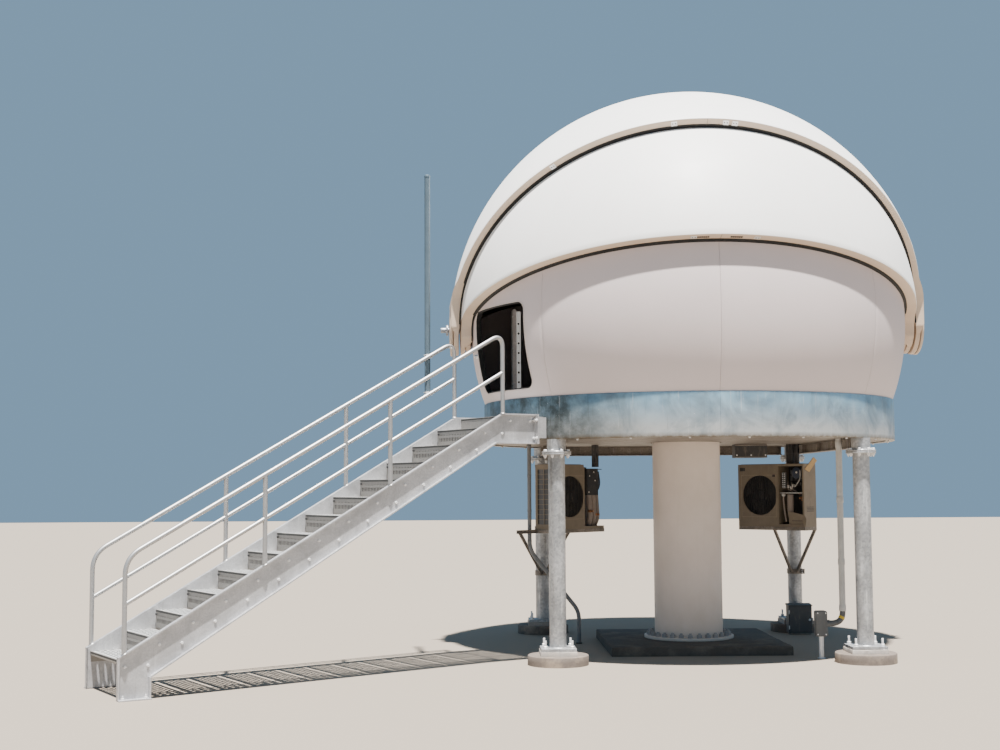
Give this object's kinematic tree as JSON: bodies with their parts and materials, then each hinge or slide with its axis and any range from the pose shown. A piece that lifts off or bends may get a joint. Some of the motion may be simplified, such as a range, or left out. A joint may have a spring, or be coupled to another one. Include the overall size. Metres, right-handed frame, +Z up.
{
  "type": "observatory dome",
  "caption": "Clamshell observatory dome on a raised steel deck, with its own telescope pier, an outside stair and cooling units.",
  "frame": {"origin": "on the pier's axis, on the flat underside of the pier's concrete pad", "axes": "+Z up; X along the shutters' pivot axis; -Y towards the side seen in the picture"},
  "size_m": [8.5949, 6.2815, 6.163],
  "materials": {
    "white_shell": "white gelcoat on glass fibre",
    "wall_shell": "greyish white gelcoat, slightly stained",
    "galvanised": "hot-dip galvanised steel, mottled",
    "bright_rail": "bright light grey tube",
    "dark_steel": "dull weathered steel",
    "cream_paint": "matt cream paint on steel pipe, a few rust scuffs",
    "beige_housing": "beige powder coat",
    "concrete": "pale concrete with sandy dirt"
  },
  "bodies": {
    "base": {"pier_pad": "concrete", "pier": "cream_paint", "footing_far_right": "concrete", "footing_far_left": "concrete", "footing_near_left": "concrete", "footing_near_right": "concrete", "leg_far_right": "galvanised", "leg_far_left": "galvanised", "leg_near_left": "galvanised", "leg_near_right": "galvanised", "band_far_right": "galvanised", "band_far_left": "galvanised", "band_near_left": "galvanised", "band_near_right": "galvanised", "deck": "dark_steel", "wall_near_left": "wall_shell", "wall_near_right": "wall_shell", "wall_far_right": "wall_shell", "wall_far_left": "wall_shell", "wall_right_pivot": "wall_shell", "wall_left_pivot": "wall_shell", "wall_door_jamb": "wall_shell", "wall_over_door": "wall_shell", "wall_door_sill": "wall_shell", "door_frame": "wall_shell", "door_upright": "galvanised", "pivot_left": "galvanised", "pivot_right": "galvanised", "stringer_near": "galvanised", "stringer_far": "galvanised", "railing_near": "bright_rail", "railing_far": "bright_rail", "tread_01": "galvanised", "tread_02": "galvanised", "tread_03": "galvanised", "tread_04": "galvanised", "tread_05": "galvanised", "tread_06": "galvanised", "tread_07": "galvanised", "tread_08": "galvanised", "tread_09": "galvanised", "tread_10": "galvanised", "tread_11": "galvanised", "tread_12": "galvanised", "tread_13": "galvanised", "landing": "galvanised", "mast": "galvanised", "cooling_unit_left": "beige_housing", "cooling_unit_right": "beige_housing", "unit_bracket_left": "dark_steel", "unit_bracket_right": "dark_steel", "conduit": "dark_steel", "conduit_left": "dark_steel", "enclosure": "beige_housing"},
    "door": {"door_leaf": "wall_shell"},
    "near_middle": {"near_middle_shutter": "white_shell"},
    "near_top": {"near_top_shutter": "white_shell"},
    "far_middle": {"far_middle_shutter": "white_shell"},
    "far_top": {"far_top_shutter": "white_shell"}
  },
  "joints": [
    {"name": "near_top_hinge", "type": "hinge", "parent": "base", "child": "near_top", "pos_m": [0, 0, 3.53], "axis": [1, 0, 0], "range_deg": [0, 67]},
    {"name": "near_middle_hinge", "type": "hinge", "parent": "base", "child": "near_middle", "pos_m": [0, 0, 3.53], "axis": [1, 0, 0], "range_deg": [0, 34]},
    {"name": "far_top_hinge", "type": "hinge", "parent": "base", "child": "far_top", "pos_m": [0, 0, 3.53], "axis": [-1, 0, 0], "range_deg": [0, 67]},
    {"name": "far_middle_hinge", "type": "hinge", "parent": "base", "child": "far_middle", "pos_m": [0, 0, 3.53], "axis": [-1, 0, 0], "range_deg": [0, 34]},
    {"name": "door_hinge", "type": "hinge", "parent": "base", "child": "door", "pos_m": [-1.61282, -1.42799, 3.2], "axis": [0, 0, 1], "range_deg": [0, 100]}
  ],
  "couplings": [
    {"joint": "near_middle_hinge", "follows": "near_top_hinge", "ratio": 0.507},
    {"joint": "far_middle_hinge", "follows": "far_top_hinge", "ratio": 0.507}
  ]
}
